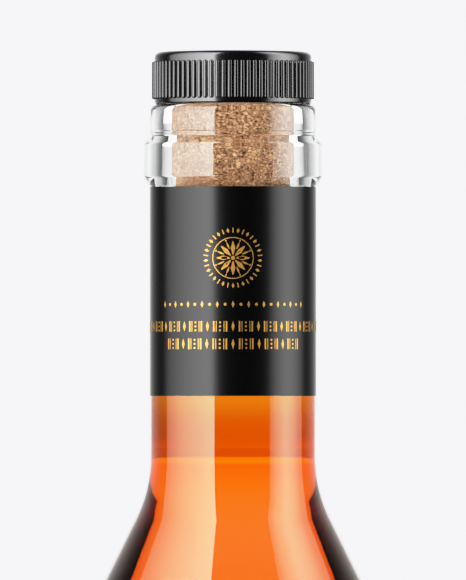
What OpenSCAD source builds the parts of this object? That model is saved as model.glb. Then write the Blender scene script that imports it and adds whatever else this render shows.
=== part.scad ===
// Glass spirits bottle, 700 ml, with a T-cork stopper, paper labels and its filling.
// Millimetres. The origin is the middle of the base, and +Z runs up through the neck.
// The front label faces -Y.

/* [Body] */
// Outer diameter of the body
body_d = 84; // [80:0.5:88]
// Height of the straight side, from the base to the shoulder
side_h = 119.2; // [110:0.2:150]
// Glass thickness in the body
body_wall = 3; // [2.4:0.1:3.6]
// Radius of the heel, between the side and the base
heel_r = 7; // [5:0.5:8]
// Width of the flat ring that the bottle stands on
bearing_w = 2; // [1:0.25:3]
// Height of the push-up in the middle of the base
punt_h = 9; // [6:0.5:12]
// Glass thickness in the middle of the base
floor_t = 6.5; // [5:0.5:9]

/* [Shoulder] */
// Angle between the shoulder's straight stretch and the axis
shoulder_a = 26.565; // [24:0.5:32]
// Radius of the round between the side and the shoulder
side_round = 55; // [40:1:60]
// Radius of the sweep from the shoulder into the neck
neck_sweep = 24.6; // [20:0.2:30]
// Glass thickness in the shoulder
shoulder_wall = 3.2; // [2.8:0.1:3.6]

/* [Neck and finish] */
// Outer diameter of the neck
neck_d = 29.5; // [29:0.1:30]
// Diameter of the neck's bore, which grips the lower part of the cork
bore_d = 22; // [21.5:0.1:22.5]
// Diameter of the wider bore in the finish, at the mouth
mouth_bore_d = 24.6; // [24:0.1:25.2]
// Diameter of the wider bore at its lower end
pocket_d = 25.7; // [25:0.1:26.6]
// Depth of the wider bore
pocket_depth = 15.3; // [14:0.1:16]
// Height of the slope from the wider bore into the neck's bore
throat_slope_h = 1.9; // [1.5:0.1:3]
// Height of the straight neck, from the shoulder sweep to the collar
neck_h = 47.7; // [45:0.1:60]
// Diameter of the collar, the wide ring under the lip
collar_d = 31.8; // [31:0.1:33]
// Height of the slope under the collar
collar_slope_h = 1.8; // [1:0.1:2.5]
// Height of the collar's straight side
collar_h = 5.9; // [4:0.1:7]
// Height of the slope on top of the collar
collar_top_h = 1.4; // [1:0.1:2]
// Depth of the parting groove between collar and lip
groove_depth = 0.1; // [0.05:0.05:0.2]
// Height of the parting groove
groove_h = 0.75; // [0.5:0.05:1]
// Diameter of the lip ring
lip_d = 29.6; // [29.4:0.1:30.5]
// Height of the lip ring
lip_h = 4.95; // [4:0.05:7]
// Radius on the lip's outer edge
lip_round = 1.1; // [0.6:0.1:1.4]
// Radius on the mouth's inner edge
mouth_round = 0.8; // [0.4:0.1:1]

/* [Stopper head] */
// Diameter of the head between its ribs
head_d = 28.1; // [27.5:0.1:28.6]
// Height of the head
head_h = 9.3; // [9:0.1:12]
// Radius on the head's top edge
head_round = 0.9; // [0.5:0.1:1.2]
// Chamfer on the head's lower edge
head_chamfer = 0.3; // [0.1:0.1:0.5]
// Thickness of the outer shell
shell_t = 1.5; // [1.2:0.1:1.8]
// Number of ribs round the head
rib_count = 80; // [60:1:90]
// How far the ribs stand out
rib_height = 0.45; // [0.3:0.05:0.6]
// Width of a rib
rib_w = 0.82; // [0.5:0.02:0.9]
// Distance from the head's lower edge to the ribs
rib_low = 0.65; // [0.5:0.05:1]
// Distance from the head's top to the ribs
rib_high = 1.7; // [1.2:0.1:2]

/* [Cork] */
// Space between the cork and the neck's bore, on each side
cork_clearance = 0.05; // [0.02:0.01:0.1]
// Length of cork that goes into the neck
cork_reach = 25; // [22:0.5:28]
// Length of cork inside the head
cork_in_head = 5; // [3:0.5:5.5]
// Chamfer on the cork's lower edge
cork_chamfer = 1; // [0.5:0.1:1.5]
// Thickness of the glue above the cork
glue_t = 0.3; // [0.2:0.05:0.5]
// Space between the head and the lip
seat_gap = 0.05; // [0.02:0.01:0.1]

/* [Filling] */
// Distance from the mouth down to the liquid's surface
ullage = 36.5; // [30:0.5:45]

/* [Labels] */
// Thickness of the label paper
paper_t = 0.12; // [0.1:0.01:0.15]
// Height of the neck label
neck_label_h = 37.1; // [25:0.1:44]
// Distance from the neck label's top edge to the collar's slope
neck_label_drop = 0; // [0:0.1:3]
// Overlap where the neck label's ends meet, measured round the neck
lap_w = 3; // [2:0.5:5]
// Width of the front label, measured round the body
front_label_w = 84; // [60:1:100]
// Height of the front label
front_label_h = 76; // [50:1:90]
// Width of the back label, measured round the body
back_label_w = 60; // [40:1:80]
// Height of the back label
back_label_h = 64; // [50:1:90]
// Height of the body labels' middle above the base
body_label_z = 66; // [60:1:70]

/* [Hidden] */
$fn = 96;

glass_tint = [0.86, 0.91, 0.9, 0.35];
spirit_amber = [0.86, 0.36, 0.03, 0.8];
black_paper = [0.03, 0.03, 0.03];
black_plastic = [0.06, 0.06, 0.065];
natural_plastic = [0.8, 0.79, 0.75];
glue_cream = [0.85, 0.75, 0.5];
cork_tan = [0.76, 0.6, 0.44];

body_r = body_d / 2;
neck_r = neck_d / 2;
bore_r = bore_d / 2;
mouth_bore_r = mouth_bore_d / 2;
pocket_r = pocket_d / 2;
collar_r = collar_d / 2;
lip_r = lip_d / 2;
groove_r = lip_r - groove_depth;
head_r = head_d / 2;
cork_r = bore_r - cork_clearance;

// The outside of the bottle, from the base up
shoulder_sin = sin(shoulder_a);
shoulder_cos = cos(shoulder_a);
slope_low_r = body_r - side_round * (1 - shoulder_cos);
slope_low_z = side_h + side_round * shoulder_sin;
slope_high_r = neck_r + neck_sweep * (1 - shoulder_cos);
slope_high_z = slope_low_z + (slope_low_r - slope_high_r) / tan(shoulder_a);
neck_z = slope_high_z + neck_sweep * shoulder_sin;
collar_slope_z = neck_z + neck_h;
collar_z = collar_slope_z + collar_slope_h;
collar_top_z = collar_z + collar_h;
groove_z = collar_top_z + collar_top_h;
lip_z = groove_z + groove_h;
mouth_z = lip_z + lip_h;
pocket_z = mouth_z - pocket_depth;
throat_z = pocket_z - throat_slope_h;
fill_z = mouth_z - ullage;
neck_label_z = collar_slope_z - neck_label_drop - neck_label_h;

// The inside of the bottle. Its shoulder runs parallel to the outside.
inside_r = body_r - body_wall;
inside_round = side_round - shoulder_wall;
inside_low_r = slope_low_r - shoulder_wall * shoulder_cos;
inside_low_z = slope_low_z - shoulder_wall * shoulder_sin;
inside_side_z = inside_low_z - inside_round * shoulder_sin;
inside_round_x = inside_low_r - inside_round * shoulder_cos;
inside_sweep = neck_sweep + shoulder_wall;
inside_high_r = bore_r + inside_sweep * (1 - shoulder_cos);
inside_high_z = inside_low_z + (inside_low_r - inside_high_r) / tan(shoulder_a);
inside_neck_z = inside_high_z + inside_sweep * shoulder_sin;

// The base: a bearing ring, a domed push-up, and a floor that follows the dome
bearing_out_r = body_r - heel_r;
bearing_in_r = bearing_out_r - bearing_w;
punt_edge_r = bearing_in_r - 2;
punt_edge_z = 0.9;
punt_sphere = (punt_edge_r * punt_edge_r + pow(punt_h - punt_edge_z, 2))
              / (2 * (punt_h - punt_edge_z));
punt_edge_a = asin(punt_edge_r / punt_sphere);
floor_z = punt_h + floor_t;
floor_sphere = punt_sphere + floor_t;
corner_r = heel_r;
corner_x = inside_r - corner_r;
corner_z = floor_z - floor_sphere + sqrt(pow(floor_sphere + corner_r, 2) - corner_x * corner_x);
corner_a = asin(corner_x / (floor_sphere + corner_r));

// The stopper
head_z = mouth_z + seat_gap;
head_top_z = head_z + head_h;
shell_in_r = head_r - shell_t;
shell_ceiling_z = head_top_z - shell_t;
cork_top_z = head_z + cork_in_head;
cork_end_z = mouth_z - cork_reach;
rib_inset = 0.4;

// Points on an arc round [x, z], from angle a0 to a1 in the given number of steps
function arc(x, z, r, a0, a1, steps = 6) =
    [for (i = [0:steps]) let (a = a0 + (a1 - a0) * i / steps) [x + r * cos(a), z + r * sin(a)]];

// The heel, side, shoulder, neck and finish, from the bearing ring up to the mouth
outside_line = concat(
    arc(bearing_out_r, heel_r, heel_r, -90, 0, 10),
    arc(body_r - side_round, side_h, side_round, 0, shoulder_a, 10),
    arc(neck_r + neck_sweep, neck_z, neck_sweep, 180 + shoulder_a, 180, 8),
    [[neck_r, collar_slope_z], [collar_r, collar_z], [collar_r, collar_top_z],
     [lip_r, groove_z], [groove_r, groove_z], [groove_r, lip_z], [lip_r, lip_z]],
    arc(lip_r - lip_round, mouth_z - lip_round, lip_round, 0, 90));

// The push-up, from the axis out to the bearing ring
punt_line = concat(
    arc(0, punt_h - punt_sphere, punt_sphere, 90, 90 - punt_edge_a, 8),
    [[bearing_in_r, 0]]);

// The mouth's inner edge and the wider bore, from the top down to the neck's bore
mouth_line = concat(
    arc(mouth_bore_r + mouth_round, mouth_z - mouth_round, mouth_round, 90, 180),
    [[pocket_r, pocket_z], [bore_r, throat_z]]);

// The floor, side and shoulder of the inside, from the axis up to the bore
inside_line = concat(
    arc(0, floor_z - floor_sphere, floor_sphere, 90, 90 - corner_a, 8),
    arc(corner_x, corner_z, corner_r, -90 - corner_a, 0, 10),
    arc(inside_round_x, inside_side_z, inside_round, 0, shoulder_a, 10),
    arc(bore_r + inside_sweep, inside_neck_z, inside_sweep, 180 + shoulder_a, 180, 8));

// A list of points in the opposite order
function backwards(points) = [for (i = [len(points) - 1:-1:0]) points[i]];

// The angle that a width takes up, measured round a cylinder
function wrap_angle(width, radius) = width / radius * 180 / PI;

module glass_bottle() {
    color(glass_tint)
        rotate_extrude()
            polygon(concat(punt_line, outside_line, mouth_line, backwards(inside_line)));
}

module spirit() {
    color(spirit_amber)
        rotate_extrude()
            polygon(concat(inside_line, [[bore_r, fill_z], [0, fill_z]]));
}

// Paper glued on the body. facing is the direction of its middle.
module body_label(width, height, facing) {
    a = wrap_angle(width, body_r);
    color(black_paper)
        rotate([0, 0, facing - a / 2])
            rotate_extrude(angle = a)
                translate([body_r, body_label_z - height / 2])
                    square([paper_t, height]);
}

// One lap of paper round the neck, doubled where its ends meet at the back
module neck_label() {
    color(black_paper)
        translate([0, 0, neck_label_z])
            linear_extrude(neck_label_h)
                difference() {
                    union() {
                        circle(r = neck_r + paper_t);
                        intersection() {
                            circle(r = neck_r + 2 * paper_t);
                            translate([-lap_w / 2, 0])
                                square([lap_w, body_r]);
                        }
                    }
                    circle(r = neck_r);
                }
}

module front_label() {
    body_label(front_label_w, front_label_h, -90);
}

module back_label() {
    body_label(back_label_w, back_label_h, 90);
}

// One rib with round ends, lying along Z and standing out along X
module rib() {
    length = head_h - rib_low - rib_high - rib_w;
    translate([head_r - rib_inset, 0, head_z + rib_low + rib_w / 2])
        rotate([90, 0, 90])
            linear_extrude(rib_inset + rib_height) {
                translate([-rib_w / 2, 0])
                    square([rib_w, length]);
                for (z = [0, length])
                    translate([0, z])
                        circle(d = rib_w);
            }
}

module cap_shell() {
    color(black_plastic)
        difference() {
            union() {
                rotate_extrude()
                    polygon(concat(
                        [[0, head_z], [head_r - head_chamfer, head_z], [head_r, head_z + head_chamfer]],
                        arc(head_r - head_round, head_top_z - head_round, head_round, 0, 90),
                        [[0, head_top_z]]));
                for (i = [0:rib_count - 1])
                    rotate([0, 0, (i + 0.5) * 360 / rib_count])
                        rib();
            }
            translate([0, 0, head_z - 1])
                cylinder(h = shell_ceiling_z - head_z + 1, r = shell_in_r);
        }
}

module cap_insert() {
    color(natural_plastic)
        difference() {
            translate([0, 0, head_z])
                cylinder(h = shell_ceiling_z - head_z, r = shell_in_r);
            translate([0, 0, head_z - 1])
                cylinder(h = cork_in_head + glue_t + 1, r = cork_r);
        }
}

module shank_glue() {
    color(glue_cream)
        translate([0, 0, cork_top_z])
            cylinder(h = glue_t, r = cork_r);
}

module cork_shank() {
    color(cork_tan) {
        translate([0, 0, cork_end_z])
            cylinder(h = cork_chamfer, r1 = cork_r - cork_chamfer, r2 = cork_r);
        translate([0, 0, cork_end_z + cork_chamfer])
            cylinder(h = cork_top_z - cork_end_z - cork_chamfer, r = cork_r);
    }
}

glass_bottle();
spirit();
neck_label();
front_label();
back_label();
cap_shell();
cap_insert();
shank_glue();
cork_shank();
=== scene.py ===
"""A glass spirits bottle with its filling, paper labels and T-cork stopper, dressed round the CAD frame."""

from __future__ import annotations

import logging
import math
from contextlib import contextmanager
from dataclasses import dataclass, field
from enum import Enum
from functools import partial
from typing import Callable, Iterator, Sequence

import bmesh
import bpy
from mathutils import Matrix, Vector

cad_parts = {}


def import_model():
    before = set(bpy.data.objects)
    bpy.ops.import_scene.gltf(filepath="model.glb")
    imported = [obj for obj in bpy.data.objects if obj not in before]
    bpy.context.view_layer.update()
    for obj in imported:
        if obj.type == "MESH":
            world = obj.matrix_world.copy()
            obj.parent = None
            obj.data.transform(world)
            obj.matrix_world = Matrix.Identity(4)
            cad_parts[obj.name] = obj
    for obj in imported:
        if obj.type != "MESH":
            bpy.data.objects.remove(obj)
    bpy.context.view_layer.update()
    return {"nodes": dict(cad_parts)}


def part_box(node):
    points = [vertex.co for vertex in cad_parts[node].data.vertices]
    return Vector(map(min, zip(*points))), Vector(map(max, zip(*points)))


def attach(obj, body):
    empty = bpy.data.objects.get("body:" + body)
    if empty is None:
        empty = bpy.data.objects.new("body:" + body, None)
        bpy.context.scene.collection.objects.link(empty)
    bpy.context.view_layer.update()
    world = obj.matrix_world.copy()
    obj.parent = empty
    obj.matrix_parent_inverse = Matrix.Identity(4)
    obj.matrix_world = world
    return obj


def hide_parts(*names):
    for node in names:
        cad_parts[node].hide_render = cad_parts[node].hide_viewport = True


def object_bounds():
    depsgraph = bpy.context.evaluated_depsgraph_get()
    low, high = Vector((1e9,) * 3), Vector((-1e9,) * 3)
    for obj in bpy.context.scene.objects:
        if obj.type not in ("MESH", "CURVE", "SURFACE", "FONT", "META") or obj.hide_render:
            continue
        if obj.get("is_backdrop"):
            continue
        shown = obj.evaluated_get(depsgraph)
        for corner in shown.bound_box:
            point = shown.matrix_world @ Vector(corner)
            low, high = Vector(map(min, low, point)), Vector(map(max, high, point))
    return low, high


LOG = logging.getLogger("bottle")
MM = 0.001
AXIS = (0.0, 0.0, 1.0)
CENTRE = (0.0, 0.0, 0.0)
UPRIGHT = (math.pi / 2, 0.0, 0.0)
TURN_STEPS = 256
# Rounds above this radius, in millimetres, get a point just beside each end
LARGE_ROUND = 10.0
BESIDE = 0.3

Point = tuple[float, float]
Colour = tuple[float, float, float, float]


# Small tools


def linear(code: str) -> Colour:
    """Turns an sRGB hex value into a linear colour.

    Args:
        code: Six hex digits, with or without the hash sign.

    Returns:
        Red, green, blue and an alpha of 1.
    """
    digits = code.lstrip("#")
    parts = [int(digits[i : i + 2], 16) / 255 for i in (0, 2, 4)]
    low = [c / 12.92 if c <= 0.04045 else ((c + 0.055) / 1.055) ** 2.4 for c in parts]
    return (low[0], low[1], low[2], 1.0)


def grey(value: float) -> Colour:
    """Gives a neutral linear colour of one brightness."""
    return (value, value, value, 1.0)


def shades(code: str, low: float, high: float = 1.0) -> list[tuple[float, Colour]]:
    """Gives a ramp's stops, from a darker to a lighter shade of one colour.

    Args:
        code: The colour, as an sRGB hex value.
        low: Share of its brightness at the first stop.
        high: Share of its brightness at the second stop.

    Returns:
        The two stops.
    """
    base = linear(code)[:3]
    return [(at, (*(c * share for c in base), 1.0)) for at, share in ((0.3, low), (0.7, high))]


def plug(tree: bpy.types.NodeTree, node: bpy.types.Node, inputs: dict) -> None:
    """Links or sets sockets of a node.

    Args:
        tree: The node's tree.
        node: The node.
        inputs: By socket name or number, an output socket to link or a value to set.
    """
    for socket, value in inputs.items():
        if isinstance(value, bpy.types.NodeSocket):
            tree.links.new(value, node.inputs[socket])
        else:
            node.inputs[socket].default_value = value


def add_node(
    tree: bpy.types.NodeTree,
    kind: str,
    inputs: dict | None = None,
    stops: Sequence[tuple[float, Colour]] = (),
    **settings: object,
) -> bpy.types.Node:
    """Adds a shader node with its settings and links.

    Args:
        tree: Node tree that gets the node.
        kind: Node type, without its ShaderNode prefix.
        inputs: By socket name or number, an output socket to link or a value to set.
        stops: Positions and colours of a ramp, in rising order.
        settings: Other properties of the node.

    Returns:
        The new node.
    """
    node = tree.nodes.new("ShaderNode" + kind)
    for name, value in settings.items():
        setattr(node, name, value)
    plug(tree, node, inputs or {})
    for i, (position, colour) in enumerate(stops):
        elements = node.color_ramp.elements
        element = elements[i] if i < 2 else elements.new(position)
        element.position = position
        element.color = colour
    return node


@dataclass
class Blank:
    """A material with a bare Principled shader and its Object coordinates, ready to be filled in."""

    name: str

    def __post_init__(self) -> None:
        """Makes the material."""
        self.material = bpy.data.materials.new(self.name)
        self.material.use_nodes = True
        self.tree = self.material.node_tree
        self.add = partial(add_node, self.tree)
        self.place = self.add("TexCoord").outputs["Object"]

    def shade(self, inputs: dict) -> bpy.types.Material:
        """Fills in the shader's sockets and gives the material."""
        plug(self.tree, self.tree.nodes["Principled BSDF"], inputs)
        return self.material


def arc(x: float, z: float, radius: float, start: float, end: float, steps: int = 12) -> list[Point]:
    """Gives points on an arc in the half section.

    Args:
        x: Centre's distance from the axis.
        z: Centre's height.
        radius: Radius of the arc.
        start: First angle, in degrees.
        end: Last angle, in degrees.
        steps: Number of steps between them.

    Returns:
        The points, first to last.
    """
    angles = [math.radians(start + (end - start) * i / steps) for i in range(steps + 1)]
    return [(x + radius * math.cos(a), z + radius * math.sin(a)) for a in angles]


def rounded(corners: Sequence[tuple[float, float, float]], chord: float = 0.8) -> list[Point]:
    """Rounds the corners of a half section.

    Args:
        corners: Each corner's distance from the axis, height and radius.
        chord: Greatest length of a step on a round, in the corners' unit.

    Returns:
        The points of the rounded line.
    """
    line: list[Point] = []
    for i, (x, z, radius) in enumerate(corners):
        here = Vector((x, z))
        if radius <= 0 or i in (0, len(corners) - 1):
            line.append((x, z))
            continue
        before = (Vector(corners[i - 1][:2]) - here).normalized()
        after = (Vector(corners[i + 1][:2]) - here).normalized()
        half = before.angle(after) / 2
        turn = math.pi - 2 * half
        centre = here + (before + after).normalized() * (radius / math.sin(half))
        first = here + before * (radius / math.tan(half)) - centre
        last = here + after * (radius / math.tan(half)) - centre
        steps = max(4, math.ceil(radius * turn / chord))
        side = 1 if first.x * last.y - first.y * last.x > 0 else -1
        # A point just off each end of a large round keeps the straight stretch beside it truly straight
        if radius > LARGE_ROUND:
            line.append(tuple(centre + first + before * BESIDE))
        for k in range(steps + 1):
            a = side * turn * k / steps
            line.append(
                (
                    centre.x + first.x * math.cos(a) - first.y * math.sin(a),
                    centre.y + first.x * math.sin(a) + first.y * math.cos(a),
                )
            )
        if radius > LARGE_ROUND:
            line.append(tuple(centre + last + after * BESIDE))
    return line


def spaced(line: Sequence[Point], step: float) -> list[Point]:
    """Adds points to a half section, so that no stretch is longer than a step."""
    dense: list[Point] = [line[0]]
    for (x0, z0), (x1, z1) in zip(line, line[1:]):
        count = max(1, math.ceil(math.hypot(x1 - x0, z1 - z0) / step - 1e-6))
        dense += [(x0 + (x1 - x0) * k / count, z0 + (z1 - z0) * k / count) for k in range(1, count + 1)]
    return dense


@contextmanager
def editing(piece: bpy.types.Object, whole: bool = False) -> Iterator[None]:
    """Opens one piece alone in edit mode.

    Args:
        piece: Object to edit.
        whole: True to have all of it selected, and otherwise nothing.

    Yields:
        Nothing: the piece is open meanwhile.
    """
    bpy.ops.object.select_all(action="DESELECT")
    piece.select_set(True)
    bpy.context.view_layer.objects.active = piece
    bpy.ops.object.mode_set(mode="EDIT")
    bpy.ops.mesh.select_all(action="SELECT" if whole else "DESELECT")
    yield
    bpy.ops.object.mode_set(mode="OBJECT")


def pick_faces(piece: bpy.types.Object, test: Callable[[Vector, Vector], bool]) -> None:
    """Selects the faces that pass a test, in edit mode.

    Args:
        piece: Object that is open in edit mode.
        test: Takes a face's middle and normal.
    """
    mesh = bmesh.from_edit_mesh(piece.data)
    mesh.normal_update()
    for face in mesh.faces:
        face.select_set(test(face.calc_center_median(), face.normal))
    bmesh.update_edit_mesh(piece.data)


def pick_points(piece: bpy.types.Object, test: Callable[[Vector], bool]) -> None:
    """Selects the points that pass a test, in edit mode."""
    mesh = bmesh.from_edit_mesh(piece.data)
    for vertex in mesh.verts:
        vertex.select_set(test(vertex.co))
    mesh.select_flush(True)
    bmesh.update_edit_mesh(piece.data)


def named(name: str) -> bpy.types.Object:
    """Names the active object and its mesh, and settles its place into the mesh."""
    piece = bpy.context.object
    piece.name = piece.data.name = name
    bpy.ops.object.transform_apply(location=True, rotation=True, scale=True)
    return piece


def upright_plane(name: str) -> bpy.types.Object:
    """Adds a plane, 1 mm square, that faces along Y."""
    bpy.ops.object.select_all(action="DESELECT")
    bpy.ops.mesh.primitive_plane_add(size=MM, rotation=UPRIGHT)
    return named(name)


def upright_disc(name: str, corners: int, radius: float) -> bpy.types.Object:
    """Adds a disc of one face that faces along Y, with its radius in millimetres."""
    bpy.ops.object.select_all(action="DESELECT")
    bpy.ops.mesh.primitive_circle_add(
        vertices=corners, radius=radius * MM, fill_type="NGON", rotation=UPRIGHT
    )
    return named(name)


def slice_up(wide: float) -> None:
    """Cuts the open flat piece into upright strips 1 mm wide, so that it can be rolled."""
    reach = int(wide / 2)
    for cut in range(-reach, reach + 1):
        bpy.ops.mesh.select_all(action="SELECT")
        bpy.ops.mesh.bisect(plane_co=(cut * MM, 0, 0), plane_no=(1, 0, 0))


def roll(piece: bpy.types.Object, radius: float, facing: float, proud: float, middle_z: float) -> None:
    """Rolls a flat piece round the axis.

    Args:
        piece: Piece laid out across X and up Z, with its outer side towards -Y.
        radius: Radius along which the distances across are measured.
        facing: Direction of its middle, in degrees from +X.
        proud: How far its flat plane comes to lie outside that radius.
        middle_z: Height of its middle.
    """
    for vertex in piece.data.vertices:
        out = (radius + proud) * MM - vertex.co.y
        a = math.radians(facing) + vertex.co.x / (radius * MM)
        vertex.co = (out * math.cos(a), out * math.sin(a), vertex.co.z + middle_z * MM)


def outwardness(face: bpy.types.MeshPolygon) -> float:
    """Tells how far a face looks away from the axis: 1 straight out, -1 straight in."""
    away = math.hypot(face.center.x, face.center.y)
    return (face.normal.x * face.center.x + face.normal.y * face.center.y) / max(1e-9, away)


def stand_for(piece: bpy.types.Object, body: str, node: str) -> None:
    """Puts a piece on a body in place of a CAD node.

    Args:
        piece: The piece.
        body: Body that it rides on.
        node: CAD node that it stands for.
    """
    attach(piece, body)
    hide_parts(node)


def turned(name: str, line: Sequence[Point], steps: int = TURN_STEPS) -> bpy.types.Object:
    """Models a round piece: draws its half section by extruding one point, and spins it.

    Args:
        name: Name of the piece.
        line: Distances from the axis and heights in millimetres, from axis to axis.
        steps: Number of steps round the axis.

    Returns:
        The piece, a closed shell.
    """
    bpy.ops.object.select_all(action="DESELECT")
    bpy.ops.mesh.primitive_plane_add(size=MM)
    piece = named(name)
    with editing(piece, whole=True):
        bpy.ops.mesh.merge(type="CENTER")
        bpy.ops.transform.translate(value=(line[0][0] * MM, 0, line[0][1] * MM))
        for (x0, z0), (x1, z1) in zip(line, line[1:]):
            bpy.ops.mesh.extrude_region_move(
                TRANSFORM_OT_translate={"value": ((x1 - x0) * MM, 0, (z1 - z0) * MM)}
            )
        bpy.ops.mesh.select_all(action="SELECT")
        bpy.ops.mesh.spin(steps=steps, angle=math.tau, center=CENTRE, axis=AXIS)
        close_up()
    return piece


def close_up() -> None:
    """Merges doubled points and turns all faces outwards, in edit mode."""
    bpy.ops.mesh.select_all(action="SELECT")
    bpy.ops.mesh.remove_doubles(threshold=2e-7)
    bpy.ops.mesh.normals_make_consistent(inside=False)


def smooth(piece: bpy.types.Object, degrees: float = 30) -> None:
    """Shades a piece smooth, apart from edges sharper than an angle."""
    bpy.ops.object.select_all(action="DESELECT")
    piece.select_set(True)
    bpy.context.view_layer.objects.active = piece
    bpy.ops.object.shade_smooth_by_angle(angle=math.radians(degrees))


def apply_modifier(piece: bpy.types.Object, kind: str, **settings: object) -> None:
    """Adds a modifier to a piece and applies it.

    Args:
        piece: Object that is modified.
        kind: Type of the modifier.
        settings: Properties of the modifier.
    """
    bpy.context.view_layer.objects.active = piece
    modifier = piece.modifiers.new(kind.lower(), kind)
    for name, value in settings.items():
        setattr(modifier, name, value)
    bpy.ops.object.modifier_apply(modifier=modifier.name)


def joined(pieces: Sequence[bpy.types.Object], name: str) -> bpy.types.Object:
    """Joins pieces into the first one and names it."""
    bpy.ops.object.select_all(action="DESELECT")
    for piece in pieces:
        piece.select_set(True)
    bpy.context.view_layer.objects.active = pieces[0]
    bpy.ops.object.join()
    return named(name)


def copied(piece: bpy.types.Object, place: Matrix) -> bpy.types.Object:
    """Copies a piece with its own mesh, and sets the copy in its place.

    Args:
        piece: Object that is copied.
        place: Move, turn and size of the copy.

    Returns:
        The copy, with its place in its mesh.
    """
    twin = piece.copy()
    twin.data = piece.data.copy()
    twin.data.transform(place)
    bpy.context.scene.collection.objects.link(twin)
    return twin


def dress(piece: bpy.types.Object, *materials: bpy.types.Material) -> None:
    """Gives a piece its materials in place of those that it has."""
    piece.data.materials.clear()
    for material in materials:
        piece.data.materials.append(material)


# Finishes


@dataclass(frozen=True)
class FlintGlass:
    """Clear soda-lime container glass, blown in a mould and fire polished: bright, faintly green in depth."""

    ior: float = 1.52
    tint: str = "fbfdfc"
    ripple_mm: float = 9.0
    ripple_depth_mm: float = 0.0015

    def make(self, name: str, mirror: Colour) -> bpy.types.Material:
        """Makes the glass.

        Args:
            name: Name of the material.
            mirror: Tint of the reflection: white in air, black where liquid lies against the glass.

        Returns:
            The material.
        """
        blank = Blank(name)
        # The mould leaves a slow ripple in the skin, some 9 mm from crest to crest
        noise = {"Vector": blank.place, "Scale": 1 / (self.ripple_mm * MM), "Detail": 1.0, "Roughness": 0.4}
        ripple = blank.add("TexNoise", noise)
        bump = blank.add("Bump", {"Height": ripple.outputs["Fac"], "Distance": self.ripple_depth_mm * MM})
        surface = {"Roughness": 0.0, "IOR": self.ior, "Transmission Weight": 1.0, "Specular Tint": mirror}
        if mirror[0] > 0:
            surface["Normal"] = bump.outputs["Normal"]
        return blank.shade({"Base Color": linear(self.tint), **surface})


@dataclass(frozen=True)
class AmberSpirit:
    """Cask-aged spirit: water and alcohol with a red-brown tint, clear to the bottom."""

    ior: float = 1.36
    # Tint by height in millimetres, painted light and shade: it evens out how brightly the table is seen
    # through neck and shoulder, and paints a glow just under the neck label
    painted_light_tints: tuple[tuple[float, tuple[float, float, float]], ...] = (
        (160.0, (0.79, 0.115, 0.0300)),
        (175.0, (0.79, 0.115, 0.0280)),
        (181.0, (0.79, 0.106, 0.0130)),
        (184.2, (0.79, 0.094, 0.0066)),
        (187.0, (0.79, 0.075, 0.0020)),
        (190.7, (0.79, 0.057, 0.0009)),
        (191.0, (0.79, 0.105, 0.0009)),
        (195.0, (0.79, 0.106, 0.0003)),
        (199.0, (0.82, 0.145, 0.0014)),
        (202.0, (0.95, 0.260, 0.0080)),
        (206.0, (1.00, 0.320, 0.0120)),
    )
    # Plain absorption through the depth of the liquid
    depth_colour: Colour = (0.985, 0.80, 0.45, 1.0)
    density: float = 70.0

    def make(self, name: str, surface: bool) -> bpy.types.Material:
        """Makes the spirit.

        Args:
            name: Name of the material.
            surface: True for the free surface, which reflects. The sides lie on glass and don't.

        Returns:
            The material.
        """
        blank = Blank(name)
        # The ramp by height paints light and shade into the spirit's colour: a glow under the neck label, and
        # brightness evened out where the table shows through
        height = blank.add("SeparateXYZ", {"Vector": blank.place}).outputs["Z"]
        low, high = self.painted_light_tints[0][0], self.painted_light_tints[-1][0]
        share = blank.add("MapRange", {"Value": height, "From Min": low * MM, "From Max": high * MM})
        stops = [((z - low) / (high - low), (*c, 1.0)) for z, c in self.painted_light_tints]
        tint = blank.add("ValToRGB", {"Fac": share.outputs["Result"]}, stops).outputs["Color"]
        absorb = blank.add("VolumeAbsorption", {"Color": self.depth_colour, "Density": self.density})
        plug(blank.tree, blank.tree.nodes["Material Output"], {"Volume": absorb.outputs["Volume"]})
        mirror = grey(1.0 if surface else 0.0)
        clear = {"Roughness": 0.0, "IOR": self.ior, "Transmission Weight": 1.0, "Specular Tint": mirror}
        return blank.shade({"Base Color": tint, **clear})


@dataclass(frozen=True)
class CoatedPaper:
    """Black coated label paper with a matt varnish: an even black with a soft, low sheen."""

    colour: str = "020202"
    roughness: float = 0.24
    fibre_mm: float = 0.35
    fibre_depth_mm: float = 0.003
    cloud_mm: float = 1000 / 120

    def make(self, name: str) -> bpy.types.Material:
        """Makes the paper."""
        blank = Blank(name)
        # Fibres under the varnish, about a third of a millimetre apart
        scale = 1 / (self.fibre_mm * MM)
        noise = {"Vector": blank.place, "Scale": scale, "Detail": 4.0, "Roughness": 0.6}
        fibre = blank.add("TexNoise", noise).outputs["Fac"]
        noise = {"Vector": blank.place, "Scale": 1 / (self.cloud_mm * MM), "Detail": 2.0}
        cloud = blank.add("TexNoise", noise)
        span = {"To Min": self.roughness * 0.96, "To Max": self.roughness * 1.04}
        rough = blank.add("MapRange", {"Value": cloud.outputs["Fac"], **span})
        bump = blank.add("Bump", {"Height": fibre, "Distance": self.fibre_depth_mm * MM})
        tone = blank.add("ValToRGB", {"Fac": fibre}, shades(self.colour, 0.8, 1.2))
        return blank.shade(
            {
                "Base Color": tone.outputs["Color"],
                "Roughness": rough.outputs["Result"],
                "Normal": bump.outputs["Normal"],
                "Specular IOR Level": 0.26,
            }
        )


@dataclass(frozen=True)
class PaperUnderside:
    """The uncoated, glued side of the label paper: a warm white that shows through the glass."""

    colour: str = "f1ece2"
    fibre_mm: float = 0.3

    def make(self, name: str) -> bpy.types.Material:
        """Makes the underside."""
        blank = Blank(name)
        # Fibres and dried glue, about a third of a millimetre apart
        noise = {"Vector": blank.place, "Scale": 1 / (self.fibre_mm * MM), "Detail": 3.0}
        fibre = blank.add("TexNoise", noise)
        tone = blank.add("ValToRGB", {"Fac": fibre.outputs["Fac"]}, shades(self.colour, 0.9))
        return blank.shade({"Base Color": tone.outputs["Color"], "Roughness": 0.8})


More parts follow.
